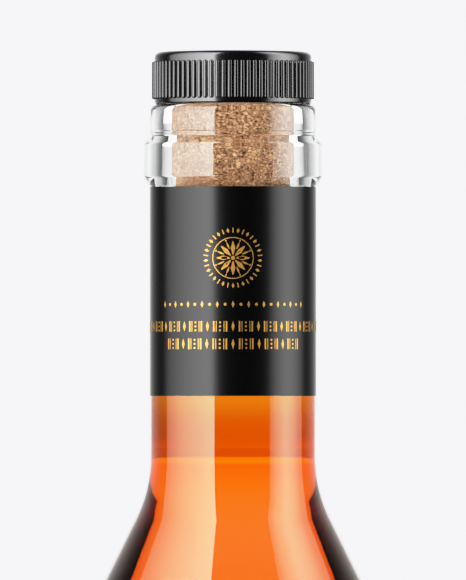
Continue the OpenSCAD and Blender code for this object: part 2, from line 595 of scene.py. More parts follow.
@dataclass(frozen=True)
class GoldFoil:
    """Hot-stamped gold foil: a thin yellow metal film that takes up the grain of the paper."""

    colour: str = "b8893a"
    roughness: float = 0.42
    metallic: float = 0.75
    grain_mm: float = 0.25
    grain_depth_mm: float = 0.004
    patch_mm: float = 2.5

    def make(self, name: str) -> bpy.types.Material:
        """Makes the foil."""
        blank = Blank(name)
        noise = {"Vector": blank.place, "Scale": 1 / (self.grain_mm * MM), "Detail": 3.0}
        grain = blank.add("TexNoise", noise)
        noise = {"Vector": blank.place, "Scale": 1 / (self.patch_mm * MM), "Detail": 2.0}
        patch = blank.add("TexNoise", noise)
        tone = blank.add("ValToRGB", {"Fac": patch.outputs["Fac"]}, shades(self.colour, 0.85))
        bump = blank.add("Bump", {"Height": grain.outputs["Fac"], "Distance": self.grain_depth_mm * MM})
        skin = {"Base Color": tone.outputs["Color"], "Normal": bump.outputs["Normal"]}
        return blank.shade({**skin, "Metallic": self.metallic, "Roughness": self.roughness})


@dataclass(frozen=True)
class MouldedPlastic:
    """Injection-moulded plastic, satin from a fine spark-eroded tool."""

    colour: str
    roughness: float
    grain_mm: float = 0.12
    grain_depth_mm: float = 0.0004
    translucence: float = 0.0
    gloss: float = 0.5
    flow_mm: float = 1000 / 150

    def make(self, name: str) -> bpy.types.Material:
        """Makes the plastic."""
        blank = Blank(name)
        scale = 1 / (self.grain_mm * MM)
        grain = blank.add("TexNoise", {"Vector": blank.place, "Scale": scale, "Detail": 3.0}).outputs["Fac"]
        flow = blank.add("TexNoise", {"Vector": blank.place, "Scale": 1 / (self.flow_mm * MM), "Detail": 1.0})
        tone = blank.add("ValToRGB", {"Fac": flow.outputs["Fac"]}, shades(self.colour, 0.85))
        span = {"To Min": self.roughness * 0.96, "To Max": self.roughness * 1.04}
        rough = blank.add("MapRange", {"Value": grain, **span})
        bump = blank.add("Bump", {"Height": grain, "Distance": self.grain_depth_mm * MM})
        return blank.shade(
            {
                "Base Color": tone.outputs["Color"],
                "Roughness": rough.outputs["Result"],
                "Normal": bump.outputs["Normal"],
                "IOR": 1.5,
                "Specular IOR Level": self.gloss,
                "Subsurface Weight": self.translucence,
            }
        )


@dataclass(frozen=True)
class AgglomeratedCork:
    """Cork granules pressed with binder and turned to size: tan grains, brown seams and dark pores."""

    granule_mm: float = 0.85
    pore_mm: float = 0.5
    light: str = "d9a97c"
    middle: str = "c28d63"
    deep: str = "9c6644"
    seam: str = "643c28"
    fleck_mm: float = 0.5
    pale: str = "e8c194"
    pore: str = "3a2116"
    drift_mm: float = 0.625
    stray_mm: float = 0.9
    dust_mm: float = 1 / 6
    pit_mm: float = 0.10

    def make(self, name: str) -> bpy.types.Material:
        """Makes the cork."""
        blank = Blank(name)
        add = blank.add
        # Granules were pressed along the shank, so they are a little wider than they are high
        squeeze = add("Mapping", {"Vector": blank.place, "Scale": (1.0, 1.0, 1.5)}).outputs["Vector"]
        noise = {"Vector": squeeze, "Scale": 1 / (self.drift_mm * MM), "Detail": 3.0, "Roughness": 0.6}
        drift = add("TexNoise", noise).outputs["Color"]
        reach = {0: drift, 1: (self.stray_mm * MM,) * 3, 2: squeeze}
        strayed = add("VectorMath", reach, operation="MULTIPLY_ADD").outputs["Vector"]
        granules = {"Vector": strayed, "Scale": 1 / (self.granule_mm * MM)}
        cells = add("TexVoronoi", granules).outputs["Color"]
        cell = add("SeparateXYZ", {"Vector": cells}).outputs["X"]
        stops = [(0.0, linear(self.deep)), (0.45, linear(self.middle)), (1.0, linear(self.light))]
        coloured = add("ValToRGB", {"Fac": cell}, stops).outputs["Color"]
        gap = add("TexVoronoi", granules, feature="DISTANCE_TO_EDGE").outputs["Distance"]
        span = {"Value": gap, "From Min": 0.0, "From Max": 0.12, "To Min": 0.85, "To Max": 0.0}
        seam = add("MapRange", span).outputs["Result"]
        # Pores and bark crumbs, dark and smaller than a granule
        noise = {"Vector": squeeze, "Scale": 1 / (self.pore_mm * MM), "Detail": 4.0, "Roughness": 0.65}
        speck = add("TexNoise", noise).outputs["Fac"]
        pores = add("MapRange", {"Value": speck, "From Min": 0.55, "From Max": 0.61}).outputs["Result"]
        # Pale flecks, where a granule was cut through
        noise = {"Vector": strayed, "Scale": 1 / (self.fleck_mm * MM), "Detail": 2.0}
        cut = add("TexNoise", noise).outputs["Fac"]
        flecks = add("MapRange", {"Value": cut, "From Min": 0.60, "From Max": 0.72}).outputs["Result"]
        for share, colour in ((seam, self.seam), (pores, self.pore), (flecks, self.pale)):
            layers = {0: share, 6: coloured, 7: linear(colour)}
            coloured = add("Mix", layers, data_type="RGBA").outputs[2]
        noise = {"Vector": blank.place, "Scale": 1 / (self.dust_mm * MM), "Detail": 2.0}
        fine = add("TexNoise", noise).outputs["Fac"]
        dust = add("MapRange", {"Value": fine, "To Min": 0.75, "To Max": 1.2}).outputs["Result"]
        final = add("VectorMath", {0: coloured, 3: dust}, operation="SCALE").outputs["Vector"]
        depth = add("Math", {0: seam, 1: pores}, operation="MAXIMUM").outputs[0]
        bump = add("Bump", {"Height": depth, "Distance": self.pit_mm * MM}, invert=True)
        skin = {"Base Color": final, "Normal": bump.outputs["Normal"]}
        return blank.shade({**skin, "Roughness": 0.85, "Specular IOR Level": 0.26})


# Sub-assemblies


@dataclass
class Bottle:
    """The glass container and its filling. Sizes in millimetres."""

    body_r: float = 42.0
    body_wall: float = 3.0
    heel_r: float = 7.0
    bearing_w: float = 2.0
    punt_h: float = 9.0
    # The push-up's edge, in from the bearing ring and up from the table
    punt_inset: float = 2.0
    punt_edge_z: float = 0.9
    floor_t: float = 6.5
    side_h: float = 119.2
    side_round: float = 55.0
    neck_sweep: float = 24.6
    shoulder_slope: float = 0.5
    shoulder_wall: float = 3.2
    neck_r: float = 14.75
    bore_r: float = 11.0
    neck_top: float = 240.191
    collar_r: float = 15.9
    lip_r: float = 14.8
    mouth_z: float = 254.991
    fill_z: float = 218.591
    # Where the inside's two drawn halves meet: up the bore and across the mouth's rim
    bore_split_z: float = 212.0
    rim_split_r: float = 13.4
    # How far the filling reaches into the glass, so that no air shows between them
    overlap: float = 0.05
    # Longest stretch of the half section between two points
    step: float = 6.0
    notch_from: float = 0.1
    notch_to: float = 2.4
    notch_edge: float = 0.12
    notch_depth: float = 0.18
    glass: bpy.types.Object | None = None
    spirit: bpy.types.Object | None = None

    def shoulder_corner(self, radius: float, offset: float) -> float:
        """Gives the height where the shoulder's line meets an upright line.

        Args:
            radius: Distance of the upright line from the axis.
            offset: How far the shoulder's line lies inside the outer one.

        Returns:
            The height of the corner.
        """
        half = math.atan(self.shoulder_slope) / 2
        outer = self.side_h + self.side_round * math.tan(half)
        slant = math.hypot(1, self.shoulder_slope) / self.shoulder_slope
        return outer + (self.body_r - radius) / self.shoulder_slope - offset * slant

    def bearing_in(self) -> float:
        """Gives the inner radius of the ring that the bottle stands on."""
        return self.body_r - self.heel_r - self.bearing_w

    def punt(self) -> Point:
        """Gives the radius of the push-up's edge and the radius of its sphere."""
        edge_r, rise = self.bearing_in() - self.punt_inset, self.punt_h - self.punt_edge_z
        return edge_r, (edge_r**2 + rise**2) / (2 * rise)

    def outside(self) -> list[Point]:
        """Draws the push-up, heel, side, shoulder, neck and finish, from the axis up to the mouth."""
        bearing_in = self.bearing_in()
        edge_r, sphere = self.punt()
        edge_a = math.degrees(math.asin(edge_r / sphere))
        dome = arc(0, self.punt_h - sphere, sphere, 90, 90 - edge_a, 16)
        finish = self.neck_top
        corners = [
            (*dome[-1], 0),
            (bearing_in, 0, 0.5),
            (self.body_r, 0, self.heel_r),
            (self.body_r, self.shoulder_corner(self.body_r, 0), self.side_round),
            (self.neck_r, self.shoulder_corner(self.neck_r, 0), self.neck_sweep),
            (self.neck_r, finish, 0.35),
            (self.collar_r, finish + 1.8, 0.9),
            (self.collar_r, finish + 7.7, 0.9),
            (self.lip_r - 0.1, finish + 9.1, 0.35),
            (self.lip_r - 0.1, finish + 9.85, 0.15),
            (self.lip_r, finish + 10.0, 0.15),
            (self.lip_r, self.mouth_z, 1.1),
            (self.rim_split_r, self.mouth_z, 0),
        ]
        return dome[:-1] + rounded(corners)

    def inside(self, spread: float = 0.0) -> list[Point]:
        """Draws the floor, side, shoulder and bore of the inside, from the axis up.

        Args:
            spread: How far the line is moved into the glass.

        Returns:
            The points, up to the bore's straight stretch.
        """
        sphere = self.punt()[1] + self.floor_t - spread
        floor_z = self.punt_h + self.floor_t - spread
        wall_r = self.body_r - self.body_wall + spread
        corner_x, reach = wall_r - self.heel_r, sphere + self.heel_r
        corner_z = floor_z - sphere + math.sqrt(reach**2 - corner_x**2)
        corner_a = math.degrees(math.asin(corner_x / reach))
        offset = self.shoulder_wall - spread
        bore = self.bore_r + spread
        upper = [
            (wall_r, corner_z, 0),
            (wall_r, self.shoulder_corner(wall_r, offset), self.side_round - offset),
            (bore, self.shoulder_corner(bore, offset), self.neck_sweep + offset),
            (bore, self.bore_split_z, 0),
        ]
        return (
            arc(0, floor_z - sphere, sphere, 90, 90 - corner_a, 14)
            + arc(corner_x, corner_z, self.heel_r, -90 - corner_a, 0, 12)[1:]
            + rounded(upper)[1:]
        )

    def mouth(self) -> list[Point]:
        """Draws the mouth's inner edge and the wider bore, from the top down."""
        corners = [
            (self.rim_split_r, self.mouth_z, 0),
            (12.31, self.mouth_z, 0.8),
            (12.85, self.mouth_z - 15.3, 0.5),
            (self.bore_r, self.mouth_z - 17.2, 1.0),
            (self.bore_r, self.bore_split_z, 0),
        ]
        return rounded(corners)[1:]

    def build(self) -> None:
        """Models the glass and the filling."""
        line = self.outside() + self.mouth() + self.inside()[::-1][1:]
        self.glass = turned("bottle_glass", spaced(line, self.step))
        self.knurl()
        smooth(self.glass, 40)
        bore = self.bore_r + self.overlap
        # The meniscus: distance in from the wall, and climb above the level
        rows = ((0.0, 0.9), (0.35, 0.42), (0.8, 0.14), (1.5, 0.02), (2.4, 0.0), (bore, 0.0))
        level = [(bore - back, self.fill_z + climb) for back, climb in rows]
        self.spirit = turned("spirit_fill", spaced(self.inside(self.overlap) + level, self.step))
        smooth(self.spirit, 50)

    def knurl(self) -> None:
        """Presses the row of notches into the ring that the bottle stands on."""
        notches = TURN_STEPS // 4
        inner = self.bearing_in() * MM

        def in_notch(middle: Vector, normal: Vector) -> bool:
            turn = (math.atan2(middle.y, middle.x) / math.tau) % 1
            flat = normal.z < -0.98 and middle.z < 0.05 * MM
            wide = self.notch_from * MM < math.hypot(middle.x, middle.y) - inner < self.notch_to * MM
            return flat and wide and int(turn * notches * 2) % 2 == 0

        with editing(self.glass):
            pick_faces(self.glass, in_notch)
            bpy.ops.mesh.inset(thickness=self.notch_edge * MM, depth=0, use_individual=False)
            bpy.ops.transform.translate(value=(0, 0, self.notch_depth * MM))

    def dress(self) -> None:
        """Gives the glass and the filling their finishes."""
        glass, spirit = FlintGlass(), AmberSpirit()
        dress(
            self.glass,
            glass.make("flint_glass_fire_polished", grey(1.0)),
            glass.make("flint_glass_wetted", grey(0.0)),
            # The amber behind the wall warms what the wall mirrors
            glass.make("flint_glass_before_spirit", (1.0, 1.0, 0.72, 1.0)),
            # Weaker than clear glass mirrors: at full strength the bands over the cork come out far too pale
            glass.make("flint_glass_dry_bore", grey(0.05)),
        )
        for face in self.glass.data.polygons:
            inner = face.normal.z > -0.6 and (outwardness(face) < -0.3 or face.normal.z > 0.5)
            if face.center.z < self.fill_z * MM:
                face.material_index = 1 if inner else 2
            elif inner:
                face.material_index = 3
        dress(
            self.spirit,
            spirit.make("amber_spirit_on_glass", surface=False),
            spirit.make("amber_spirit_surface", surface=True),
        )
        for face in self.spirit.data.polygons:
            face.material_index = int(face.normal.z > 0.4 and face.center.z > self.bore_split_z * MM)
        stand_for(self.glass, "bottle", "glass_bottle")
        stand_for(self.spirit, "bottle", "spirit")


class Mark(Enum):
    """The small shapes that the foil stamp is made of."""

    TICK = "tick"
    LOZENGE = "lozenge"
    DOT = "dot"
    PETAL = "petal"


@dataclass
class FoilStamp:
    """Gold foil shapes on one label. They are laid out flat, across and up, and rolled round it."""

    name: str
    radius: float
    facing: float
    middle_z: float
    thickness: float = 0.02
    # Depth that the stamp presses the foil into the paper
    pressed: float = 0.004
    shapes: list[bpy.types.Object] = field(default_factory=list)
    masters: dict[Mark, bpy.types.Object] = field(default_factory=dict)

    def master(self, mark: Mark) -> bpy.types.Object:
        """Models a mark once, 1 mm high and flat in the XZ plane.

        Args:
            mark: Which shape.

        Returns:
            The shape, to be copied.
        """
        if mark in self.masters:
            return self.masters[mark]
        name = f"stamp_{mark.value}"
        if mark is Mark.TICK:
            shape = upright_plane(name)
        else:
            shape = upright_disc(name, {Mark.LOZENGE: 4, Mark.DOT: 10, Mark.PETAL: 12}[mark], 0.5)
        if mark in (Mark.LOZENGE, Mark.PETAL):
            with editing(shape):
                if mark is Mark.LOZENGE:
                    bpy.ops.mesh.select_all(action="SELECT")
                    bpy.ops.transform.resize(value=(0.62, 1, 1))
                else:
                    pick_points(shape, lambda p: True)
                    bpy.ops.transform.resize(value=(0.42, 1, 1))
                    for side in (-1, 1):
                        pick_points(shape, lambda p, s=side: 0.2 * MM < s * p.z < 0.49 * MM)
                        bpy.ops.transform.resize(value=(0.62, 1, 1))
        self.masters[mark] = shape
        return shape

    def put(self, mark: Mark, x: float, z: float, wide: float, high: float, turn: float = 0.0) -> None:
        """Copies a mark to its place on the flat label.

        Args:
            mark: Which shape.
            x: Distance across from the label's middle.
            z: Distance up from the label's middle.
            wide: Width against the master's height.
            high: Height in millimetres.
            turn: Turn in degrees.
        """
        place = (
            Matrix.Translation((x * MM, 0, z * MM))
            @ Matrix.Rotation(math.radians(turn), 4, "Y")
            @ Matrix.Diagonal((wide, 1, high, 1))
        )
        self.shapes.append(copied(self.master(mark), place))

    def ring(self, x: float, z: float, radius: float, width: float) -> None:
        """Adds a thin ring, two circles bridged.

        Args:
            x: Middle's distance across.
            z: Middle's distance up.
            radius: Outer radius.
            width: Width of the ring.
        """
        shape = upright_disc("stamp_ring", 72, radius)
        with editing(shape, whole=True):
            bpy.ops.mesh.inset(thickness=width * MM, depth=0)
            bpy.ops.mesh.delete(type="FACE")
        shape.data.transform(Matrix.Translation((x * MM, 0, z * MM)))
        self.shapes.append(shape)

    def frame(self, wide: float, high: float, corner: float, width: float) -> None:
        """Adds a border line with rounded corners round the label's middle.

        Args:
            wide: Width of the border.
            high: Height of the border.
            corner: Radius of its corners.
            width: Width of the line.
        """
        shape = upright_plane("stamp_frame")
        with editing(shape, whole=True):
            bpy.ops.transform.resize(value=(wide, 1, high))
            bpy.ops.mesh.bevel(offset=corner * MM, segments=6, affect="VERTICES")
            bpy.ops.mesh.select_all(action="SELECT")
            bpy.ops.mesh.inset(thickness=width * MM, depth=0)
            bpy.ops.mesh.delete(type="FACE")
            slice_up(wide)
        self.shapes.append(shape)

    def medallion(self, x: float, z: float, radius: float) -> None:
        """Adds a ring of small marks round a rosette.

        Args:
            x: Middle's distance across.
            z: Middle's distance up.
            radius: Outer radius of the ring of marks.
        """
        size = radius / 5.35
        count = 34
        for i in range(count):
            a = 360 / count * i
            r = 4.9 * size
            px, pz = x + r * math.sin(math.radians(a)), z + r * math.cos(math.radians(a))
            if i % 2:
                self.put(Mark.LOZENGE, px, pz, 0.85 * size, 0.9 * size, a)
            else:
                self.put(Mark.TICK, px, pz, 0.2 * size, 0.85 * size, a)
        self.ring(x, z, 3.7 * size, 0.16 * size)
        for i in range(8):
            a = 45 * i
            for turn, r, wide, high in ((0, 1.75, 2.0, 2.5), (22.5, 2.35, 0.9, 1.4)):
                b = math.radians(a + turn)
                self.put(
                    Mark.PETAL,
                    x + r * size * math.sin(b),
                    z + r * size * math.cos(b),
                    wide * size,
                    high * size,
                    a + turn,
                )
            b = math.radians(a + 22.5)
            r = 3.28 * size
            self.put(Mark.DOT, x + r * math.sin(b), z + r * math.cos(b), 0.3 * size, 0.3 * size)
        self.put(Mark.DOT, x, z, 0.75 * size, 0.75 * size)

    def spaced_row(self, z: float, half: float, pitch: float, high: float) -> None:
        """Adds a light row: lozenges and dots in turn, with wide gaps.

        Args:
            z: Distance up from the label's middle.
            half: Half length of the row.
            pitch: Distance between marks.
            high: Height of a lozenge.
        """
        count = int(half / pitch)
        for i in range(-count, count + 1):
            if i % 2:
                self.put(Mark.DOT, i * pitch, z, 0.45 * high, 0.45 * high)
            else:
                self.put(Mark.LOZENGE, i * pitch, z, 0.7 * high, high)

    def bold_row(self, z: float, half: float, high: float) -> None:
        """Adds a heavy row: lozenges between pairs of thick and thin bars, and stacked dots.

        Args:
            z: Distance up from the label's middle.
            half: Half length of the row.
            high: Height of the row.
        """
        pitch = 0.62 * high
        count = int(half / pitch)
        for i in range(-count, count + 1):
            x = i * pitch
            if i % 4 == 0:
                self.put(Mark.LOZENGE, x, z, 0.48 * high, high)
            elif i % 4 == 2:
                for up in (-0.38, 0, 0.38):
                    self.put(Mark.DOT, x, z + up * high, 0.19 * high, 0.19 * high)
            else:
                side = 1 if i % 4 == 1 else -1
                self.put(Mark.TICK, x, z, 0.15 * high, high)
                self.put(Mark.TICK, x + side * 0.24 * high, z, 0.07 * high, high)

    def finish(self, material: bpy.types.Material) -> bpy.types.Object:
        """Joins the shapes, gives them their thickness and rolls them round the label.

        Args:
            material: Finish of the foil.

        Returns:
            The foil as one piece.
        """
        foil = joined(self.shapes, self.name)
        for master in self.masters.values():
            bpy.data.objects.remove(master)
        with editing(foil, whole=True):
            bpy.ops.mesh.normals_make_consistent(inside=False)
            pick_faces(foil, lambda middle, normal: normal.y > 0)
            bpy.ops.mesh.flip_normals()
        apply_modifier(foil, "SOLIDIFY", thickness=self.thickness * MM, offset=1.0)
        roll(foil, self.radius, self.facing, -self.pressed, self.middle_z)
        with editing(foil, whole=True):
            bpy.ops.mesh.normals_make_consistent(inside=False)
        dress(foil, material)
        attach(foil, "bottle")
        return foil


class Facing(Enum):
    """Direction that a body label faces, in degrees from +X."""

    FRONT = -90
    BACK = 90


@dataclass
class Labels:
    """The neck label and the two body labels, with their foil. Sizes in millimetres."""

    paper_t: float = 0.12
    glue_t: float = 0.001
    neck_r: float = 14.75
    body_r: float = 42.0
    lap_w: float = 3.0
    # Angle in radians that the first spin leaves open, before the end laps over the start
    gap: float = 0.12
    corner: float = 2.5
    # From the stopper's top down to the middle of the neck label's medallion
    medallion_drop: float = 36.84
    papers: list[bpy.types.Object] = field(default_factory=list)
    foils: list[bpy.types.Object] = field(default_factory=list)

    def neck_paper(self) -> bpy.types.Object:
        """Models the paper round the neck: a strip spun once round, with its end lapped over its start."""
        low, high = (v.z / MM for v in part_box("neck_label"))
        strip_h = high - low
        lap = math.degrees(self.lap_w / self.neck_r)
        paper = upright_plane("neck_label_paper")
        with editing(paper, whole=True):
            bpy.ops.transform.resize(value=(self.paper_t, 1, strip_h))
            middle_r = self.neck_r + self.paper_t / 2 + 0.002
            bpy.ops.transform.translate(value=(middle_r * MM, 0, (low + strip_h / 2) * MM))
            start = math.radians(90 - lap / 2)
            bpy.ops.transform.rotate(value=-start, orient_axis="Z", center_override=CENTRE)
            # The strip goes once round, then climbs over its own start
            bpy.ops.mesh.spin(steps=180, angle=math.tau - self.gap, center=CENTRE, axis=AXIS)
        self.lap_end(paper, start, math.radians(lap))
        with editing(paper):
            close_up()
        return paper

    def lap_end(self, paper: bpy.types.Object, start: float, lap: float) -> None:
        """Runs the strip's end on over its start.

        Args:
            paper: The strip, spun nearly once round.
            start: Angle of the strip's start.
            lap: Angle that the ends overlap.
        """
        steps = 8
        reach = self.gap + lap
        with editing(paper):
            turned_to = start + math.tau - self.gap
            for k in range(steps):
                side = Vector((-math.sin(turned_to), math.cos(turned_to), 0))
                mesh = bmesh.from_edit_mesh(paper.data)
                mesh.normal_update()
                front = max(mesh.faces, key=lambda f: end_score(f, turned_to, side))
                for face in mesh.faces:
                    face.select_set(face == front)
                bmesh.update_edit_mesh(paper.data)
                bpy.ops.mesh.extrude_region_move()
                bpy.ops.transform.rotate(
                    value=-reach / steps, orient_axis="Z", center_override=CENTRE
                )
                if k < 3:
                    grow = 1 + (self.paper_t + 0.01) / self.neck_r / 3
                    bpy.ops.transform.resize(value=(grow, grow, 1), center_override=CENTRE)
                turned_to += reach / steps

    def body_paper(self, node: str, facing: Facing, wide: float) -> bpy.types.Object:
        """Models one body label with rounded corners.

        Args:
            node: CAD node that the label stands for.
            facing: Direction that it faces.
            wide: Width measured round the body.

        Returns:
            The label's paper.
        """
        low, high = (v.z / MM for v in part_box(node))
        paper = upright_plane(f"{node}_paper")
        with editing(paper, whole=True):
            bpy.ops.transform.resize(value=(wide, 1, high - low))
            bpy.ops.mesh.bevel(offset=self.corner * MM, segments=8, affect="VERTICES")
            slice_up(wide)
        apply_modifier(paper, "SOLIDIFY", thickness=self.paper_t * MM, offset=0.0)
        roll(paper, self.body_r, facing.value, self.paper_t / 2 + self.glue_t, (low + high) / 2)
        with editing(paper):
            close_up()
        return paper

    def build(self) -> None:
        """Models the papers and stamps the foil."""
        material = CoatedPaper().make("black_coated_paper")
        underside = PaperUnderside().make("label_paper_underside")
        gold = GoldFoil().make("gold_hot_foil")
        rows = (
            ("neck_label", self.neck_paper()),
            ("front_label", self.body_paper("front_label", Facing.FRONT, 84.0)),
            ("back_label", self.body_paper("back_label", Facing.BACK, 60.0)),
        )
        for node, paper in rows:
            smooth(paper, 30)
            dress(paper, material, underside)
            for face in paper.data.polygons:
                face.material_index = int(outwardness(face) < -0.5)
            stand_for(paper, "bottle", node)
            self.papers.append(paper)
        self.foils = [self.neck_foil(gold), self.front_foil(gold), self.back_foil(gold)]

    def neck_foil(self, gold: bpy.types.Material) -> bpy.types.Object:
        """Stamps the neck label: a medallion over one light row and two heavy ones."""
        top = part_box("cap_shell")[1].z / MM
        middle = top - self.medallion_drop
        stamp = FoilStamp("neck_label_foil", self.neck_r + self.paper_t, Facing.FRONT.value, middle)
        stamp.medallion(0, 0, 5.35)
        stamp.spaced_row(-8.2, 15.2, 1.4, 1.2)
        stamp.bold_row(-12.1, 27.0, 1.85)
        stamp.bold_row(-15.2, 13.9, 1.9)
        return stamp.finish(gold)

    def front_foil(self, gold: bpy.types.Material) -> bpy.types.Object:
        """Stamps the front label: a double border, a medallion and rows."""
        middle = sum(v.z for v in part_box("front_label")) / 2 / MM
        stamp = FoilStamp("front_label_foil", self.body_r + self.paper_t, Facing.FRONT.value, middle)
        stamp.frame(79.0, 71.0, 1.6, 0.6)
        stamp.frame(76.6, 68.6, 1.0, 0.25)
        stamp.medallion(0, 12.5, 13.4)
        stamp.spaced_row(-8.0, 26.0, 3.2, 2.0)
        stamp.bold_row(-15.5, 28.0, 3.6)
        stamp.bold_row(-22.5, 19.0, 3.0)
        return stamp.finish(gold)

    def back_foil(self, gold: bpy.types.Material) -> bpy.types.Object:
        """Stamps the back label: a border, a small medallion and rows."""
        middle = sum(v.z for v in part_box("back_label")) / 2 / MM
        stamp = FoilStamp("back_label_foil", self.body_r + self.paper_t, Facing.BACK.value, middle)
        stamp.frame(55.5, 59.5, 1.4, 0.4)
        stamp.medallion(0, 17.0, 7.5)
        stamp.bold_row(4.0, 20.0, 2.0)
        for z in (-2.0, -6.0, -10.0, -14.0, -18.0):
            stamp.spaced_row(z, 21.0, 1.75, 1.1)
        return stamp.finish(gold)


def end_score(face: bmesh.types.BMFace, turned_to: float, side: Vector) -> float:
    """Tells how surely a face is the strip's end: it faces along the strip and lies at its angle."""
    middle = face.calc_center_median()
    a = math.atan2(middle.y, middle.x)
    off = abs((a - turned_to + math.pi) % math.tau - math.pi)
    return face.normal.dot(side) - 10 * off + 40 * math.hypot(middle.x, middle.y)


@dataclass
class Stopper:
    """The ribbed head with its socket, glue and cork shank. Sizes in millimetres."""

    head_r: float = 14.05
    shell_t: float = 1.5
    top_round: float = 1.0
    rib_count: int = 80
    rib_height: float = 0.45
    rib_w: float = 0.86
    rib_low: float = 0.8
    rib_high: float = 1.7
    cork_r: float = 10.95
    cork_chamfer: float = 1.0
    head: bpy.types.Object | None = None
    cork: bpy.types.Object | None = None

    def build(self) -> None:
        """Models the head with its ribs, and the cork."""
        low, high = (v.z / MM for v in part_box("cap_shell"))
        inner_r, ceiling = self.head_r - self.shell_t, high - self.shell_t
        corners = [
            (0, ceiling, 0),
            (inner_r, ceiling, 0.2),
            (inner_r, low, 0.15),
            (self.head_r, low, 0.35),
            (self.head_r, high, self.top_round),
            (0, high, 0),
        ]
        shell = turned("stopper_head", spaced(rounded(corners, 0.12), 2.0))
        self.head = joined([shell, self.ribs(low, high)], "stopper_head")
        smooth(self.head, 35)
        self.cork = self.cork_shank()

    def ribs(self, low: float, high: float) -> bpy.types.Object:
        """Models one rib as a long bead cut off at the back, and copies it round the head.

        Args:
            low: Height of the head's lower edge.
            high: Height of the head's top.

        Returns:
            All ribs in one object.
        """
        bottom = low + self.rib_low + self.rib_w / 2
        length = high - low - self.rib_low - self.rib_high - self.rib_w
        bpy.ops.object.select_all(action="DESELECT")
        bpy.ops.mesh.primitive_uv_sphere_add(segments=16, ring_count=8, radius=self.rib_w / 2 * MM)
        rib = named("grip_ribs")
        with editing(rib, whole=True):
            # A crowned face between steep sides: the ball is drawn out, then its crown is pressed down
            crown = 0.7 * self.rib_height
            bpy.ops.transform.resize(value=(1.4 * self.rib_height / (self.rib_w / 2), 1, 1))
            pick_points(rib, lambda p: p.x > crown * MM)
            bpy.ops.transform.resize(value=(0.43, 1, 1), center_override=(crown * MM, 0, 0))
            bpy.ops.mesh.select_all(action="SELECT")
            bpy.ops.mesh.bisect(
                plane_co=(-0.15 * MM, 0, 0), plane_no=(1, 0, 0), use_fill=True, clear_inner=True
            )
            pick_points(rib, lambda p: p.z > 0.01 * MM)
            bpy.ops.transform.translate(value=(0, 0, length * MM))
            bpy.ops.mesh.select_all(action="SELECT")
            bpy.ops.transform.translate(value=(self.head_r * MM, 0, bottom * MM))
            bpy.ops.transform.rotate(
                value=-math.pi / self.rib_count, orient_axis="Z", center_override=CENTRE
            )
            last = math.tau * (self.rib_count - 1) / self.rib_count
            bpy.ops.mesh.spin(steps=self.rib_count - 1, angle=last, dupli=True, center=CENTRE, axis=AXIS)
            close_up()
        return rib

    def cork_shank(self) -> bpy.types.Object:
        """Models the cork: turned, then pitted between its granules."""
        low, high = (v.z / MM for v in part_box("cork_shank"))
        radius = self.cork_r - 0.01
        corners = [
            (0, low, 0),
            (radius - self.cork_chamfer, low, 0.2),
            (radius, low + self.cork_chamfer, 0.2),
            (radius, high, 0),
            (0, high, 0),
        ]
        cork = turned("cork_shank_turned", spaced(rounded(corners, 0.1), 0.4), 180)
        for name, kind, size in (("granule_pits", "VORONOI", 1.1), ("cork_chips", "CLOUDS", 0.6)):
            texture = bpy.data.textures.new(name, kind)
            texture.noise_scale = size * MM
            apply_modifier(cork, "DISPLACE", texture=texture, strength=-0.03 * MM, mid_level=0.0)
        smooth(cork, 60)
        return cork

    def dress(self, nodes: dict[str, bpy.types.Object]) -> None:
        """Gives the stopper's pieces and CAD nodes their finishes.

        Args:
            nodes: CAD nodes by name.
        """
        shell = MouldedPlastic("050506", 0.16, grain_depth_mm=0.0001, gloss=0.75)
        socket = MouldedPlastic("cdcabf", 0.4, translucence=0.2)
        glue = MouldedPlastic("d8c48a", 0.3, grain_mm=0.5, grain_depth_mm=0.02, translucence=0.3)
        dress(self.head, shell.make("black_abs_satin"))
        dress(self.cork, AgglomeratedCork().make("agglomerated_cork"))
        dress(nodes["cap_insert"], socket.make("natural_polyethylene"))
        dress(nodes["shank_glue"], glue.make("hot_melt_glue"))
        stand_for(self.head, "stopper", "cap_shell")
        stand_for(self.cork, "stopper", "cork_shank")


# Studio


@dataclass(frozen=True)
class LightField:
    """Light from one part of the surroundings. Angles in degrees, azimuth 0 in front and 90 at +X."""

    azimuths: tuple[tuple[float, float], ...]
    elevations: tuple[tuple[float, float], ...]
    mirrored: bool = False

    def add(
        self, tree: bpy.types.NodeTree, azimuth: bpy.types.NodeSocket, elevation: bpy.types.NodeSocket
    ) -> bpy.types.NodeSocket:
        """Adds the field's nodes.

        Args:
            tree: The world's node tree.
            azimuth: Azimuth in radians.
            elevation: Elevation in radians.

        Returns:
            The field's brightness.
        """
        if self.mirrored:
            azimuth = add_node(tree, "Math", {0: azimuth}, operation="ABSOLUTE").outputs[0]
        parts = []
        peak = 1.0
        for angle, rows in ((azimuth, self.azimuths), (elevation, self.elevations)):
            low, high = rows[0][0], rows[-1][0]
            most = max(value for _, value in rows)
            stops = [((a - low) / (high - low), grey(v / most)) for a, v in rows]
            share = add_node(
                tree,
                "MapRange",
                {"Value": angle, "From Min": math.radians(low), "From Max": math.radians(high)},
            ).outputs["Result"]
            parts.append(add_node(tree, "ValToRGB", {"Fac": share}, stops).outputs["Color"])
            peak *= most
        both = add_node(tree, "Math", {0: parts[0], 1: parts[1]}, operation="MULTIPLY").outputs[0]
        return add_node(tree, "Math", {0: both, 1: peak}, operation="MULTIPLY").outputs[0]


# Rows shared by light fields: how high the soft boxes reach, and the same brightness all round
BOX_RISE = ((-42, 0.0), (-30, 1.0), (55, 1.0), (68, 0.0))
ALL_ROUND = ((-180, 1.0), (180, 1.0))


